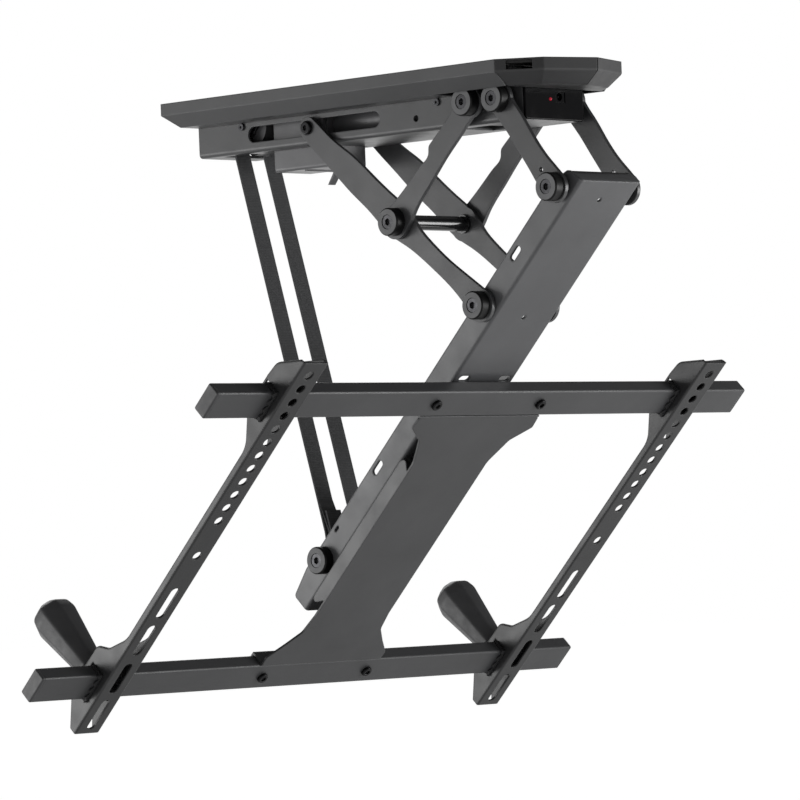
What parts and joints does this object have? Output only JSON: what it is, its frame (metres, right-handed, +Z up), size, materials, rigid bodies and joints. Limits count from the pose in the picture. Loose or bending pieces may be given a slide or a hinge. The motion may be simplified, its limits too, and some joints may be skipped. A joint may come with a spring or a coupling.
{
  "type": "motorised television ceiling mount",
  "caption": "Motorised fold-down ceiling bracket: a base under the ceiling carries a strap-driven arm linkage, a tilting carrier with two rails and sliding screen brackets with clamp knobs.",
  "frame": {"origin": "centre of the ceiling plate upper face, where it meets the ceiling", "axes": "+Z up into the ceiling, +X along the television rails, +Y along the base towards its rounded control end"},
  "size_m": [0.71, 0.5014, 0.5931],
  "materials": {
    "powder_black": "satin powder coat",
    "black_plastic": "fine texture",
    "gloss_black": "polished",
    "dark_steel": "black oxide",
    "bright_steel": "ground",
    "nylon": "moulded",
    "rubber_black": "matt",
    "webbing": "woven",
    "motor_grey": "matt",
    "board_green": "lacquered",
    "lamp_red": "clear"
  },
  "bodies": {
    "base": {"ceiling_plate": "powder_black", "cover": "powder_black", "cover_screws": "dark_steel", "base_channel": "powder_black", "control_face": "gloss_black", "status_lamp": "lamp_red", "power_socket": "gloss_black", "control_board": "board_green", "gearbox": "motor_grey", "motor": "motor_grey", "limit_switches": "black_plastic", "spool_bearings": "dark_steel", "strap_feeds": "webbing", "base_pins": "dark_steel", "base_caps": "black_plastic", "end_cover_left": "black_plastic", "end_cover_right": "black_plastic"},
    "spool": {"spool_shaft": "bright_steel", "spool_left": "black_plastic", "spool_right": "black_plastic"},
    "rollers": {"guide_rollers": "nylon"},
    "arm_outer": {"link_b_left": "powder_black", "link_b_right": "powder_black", "arm_bushes_outer": "nylon"},
    "arm_long": {"link_a_left": "powder_black", "link_a_right": "powder_black", "arm_bushes_long": "nylon", "cross_shaft": "dark_steel", "middle_pins": "dark_steel", "middle_caps": "black_plastic"},
    "slider": {"slide_blocks": "nylon", "slide_pins": "dark_steel"},
    "arm_guide": {"link_c_left": "powder_black", "link_c_right": "powder_black", "arm_bushes_guide": "nylon", "guide_pins": "dark_steel", "guide_caps": "black_plastic"},
    "carrier": {"carrier_channel": "powder_black", "carrier_pins": "dark_steel", "carrier_caps": "black_plastic", "tray_plate": "powder_black", "carrier_spacers": "dark_steel", "tray_bolts": "dark_steel", "rail_upper": "powder_black", "rail_lower": "powder_black", "rail_caps": "black_plastic", "rail_screws": "dark_steel", "strap_axle": "bright_steel"},
    "straps": {"strap_left": "webbing", "strap_right": "webbing", "strap_sleeves": "nylon"},
    "strap_ends": {"strap_tails": "webbing"},
    "bracket_l": {"bracket_left": "powder_black", "liners_left": "rubber_black"},
    "bracket_r": {"bracket_right": "powder_black", "liners_right": "rubber_black"},
    "knob_l": {"knob_left": "black_plastic"},
    "knob_r": {"knob_right": "black_plastic"}
  },
  "joints": [
    {"name": "lift", "type": "hinge", "parent": "base", "child": "arm_outer", "pos_m": [0, 0.1583, -0.032], "axis": [1, 0, 0], "range_deg": [-33.8, 17.5]},
    {"name": "middle_pivot", "type": "hinge", "parent": "arm_outer", "child": "arm_long", "pos_m": [0, 0.05878, -0.13399], "axis": [1, 0, 0], "range_deg": [-34.13, 64.98]},
    {"name": "slide_pivot", "type": "hinge", "parent": "arm_long", "child": "slider", "pos_m": [0, -0.05599, -0.03632], "axis": [1, 0, 0], "range_deg": [-31.18, 16.63]},
    {"name": "carrier_pivot", "type": "hinge", "parent": "arm_long", "child": "carrier", "pos_m": [0, 0.15671, -0.21733], "axis": [1, 0, 0], "range_deg": [-75.12, 39.38]},
    {"name": "guide_pivot", "type": "hinge", "parent": "base", "child": "arm_guide", "pos_m": [0, 0.1954, -0.032], "axis": [1, 0, 0], "range_deg": [-16.75, 31.42]},
    {"name": "spool_turn", "type": "hinge", "parent": "base", "child": "spool", "pos_m": [0, -0.145, -0.0275], "axis": [1, 0, 0], "range_deg": [-1094.04, 568.85]},
    {"name": "roller_turn", "type": "hinge", "parent": "base", "child": "rollers", "pos_m": [0, -0.166, -0.0445], "axis": [1, 0, 0], "range_deg": [-2846.23, 1476.05]},
    {"name": "strap_swing", "type": "hinge", "parent": "carrier", "child": "straps", "pos_m": [0, -0.06269, -0.44324], "axis": [1, 0, 0], "range_deg": [-16.75, 31.42]},
    {"name": "strap_draw", "type": "slide", "parent": "straps", "child": "strap_ends", "axis": [0, -0.267, 0.9637], "range_m": [-0.3442, 0.1792], "deforming": ["strap_left", "strap_right", "strap_tails"]},
    {"name": "bracket_slide_left", "type": "slide", "parent": "carrier", "child": "bracket_l", "axis": [1, 0, 0], "range_m": [-0.165, 0.06]},
    {"name": "bracket_slide_right", "type": "slide", "parent": "carrier", "child": "bracket_r", "axis": [-1, 0, 0], "range_m": [-0.165, 0.06]},
    {"name": "knob_turn_left", "type": "hinge", "parent": "bracket_l", "child": "knob_l", "pos_m": [0.2695, -0.16448, -0.50872], "axis": [0, -0.712, 0.7022], "range_deg": [0, 360]},
    {"name": "knob_turn_right", "type": "hinge", "parent": "bracket_r", "child": "knob_r", "pos_m": [-0.2695, -0.16448, -0.50872], "axis": [0, -0.712, 0.7022], "range_deg": [0, 360]}
  ],
  "couplings": [
    {"joint": "middle_pivot", "follows": "lift", "ratio": -1.893},
    {"joint": "slide_pivot", "follows": "lift", "ratio": 0.893},
    {"joint": "carrier_pivot", "follows": "lift", "ratio": 2.193},
    {"joint": "guide_pivot", "follows": "lift", "ratio": -0.9},
    {"joint": "spool_turn", "follows": "lift", "ratio": 32.22},
    {"joint": "roller_turn", "follows": "lift", "ratio": 84.06},
    {"joint": "strap_swing", "follows": "lift", "ratio": -0.9},
    {"joint": "strap_draw", "follows": "lift", "m_per_rad": 0.58}
  ]
}
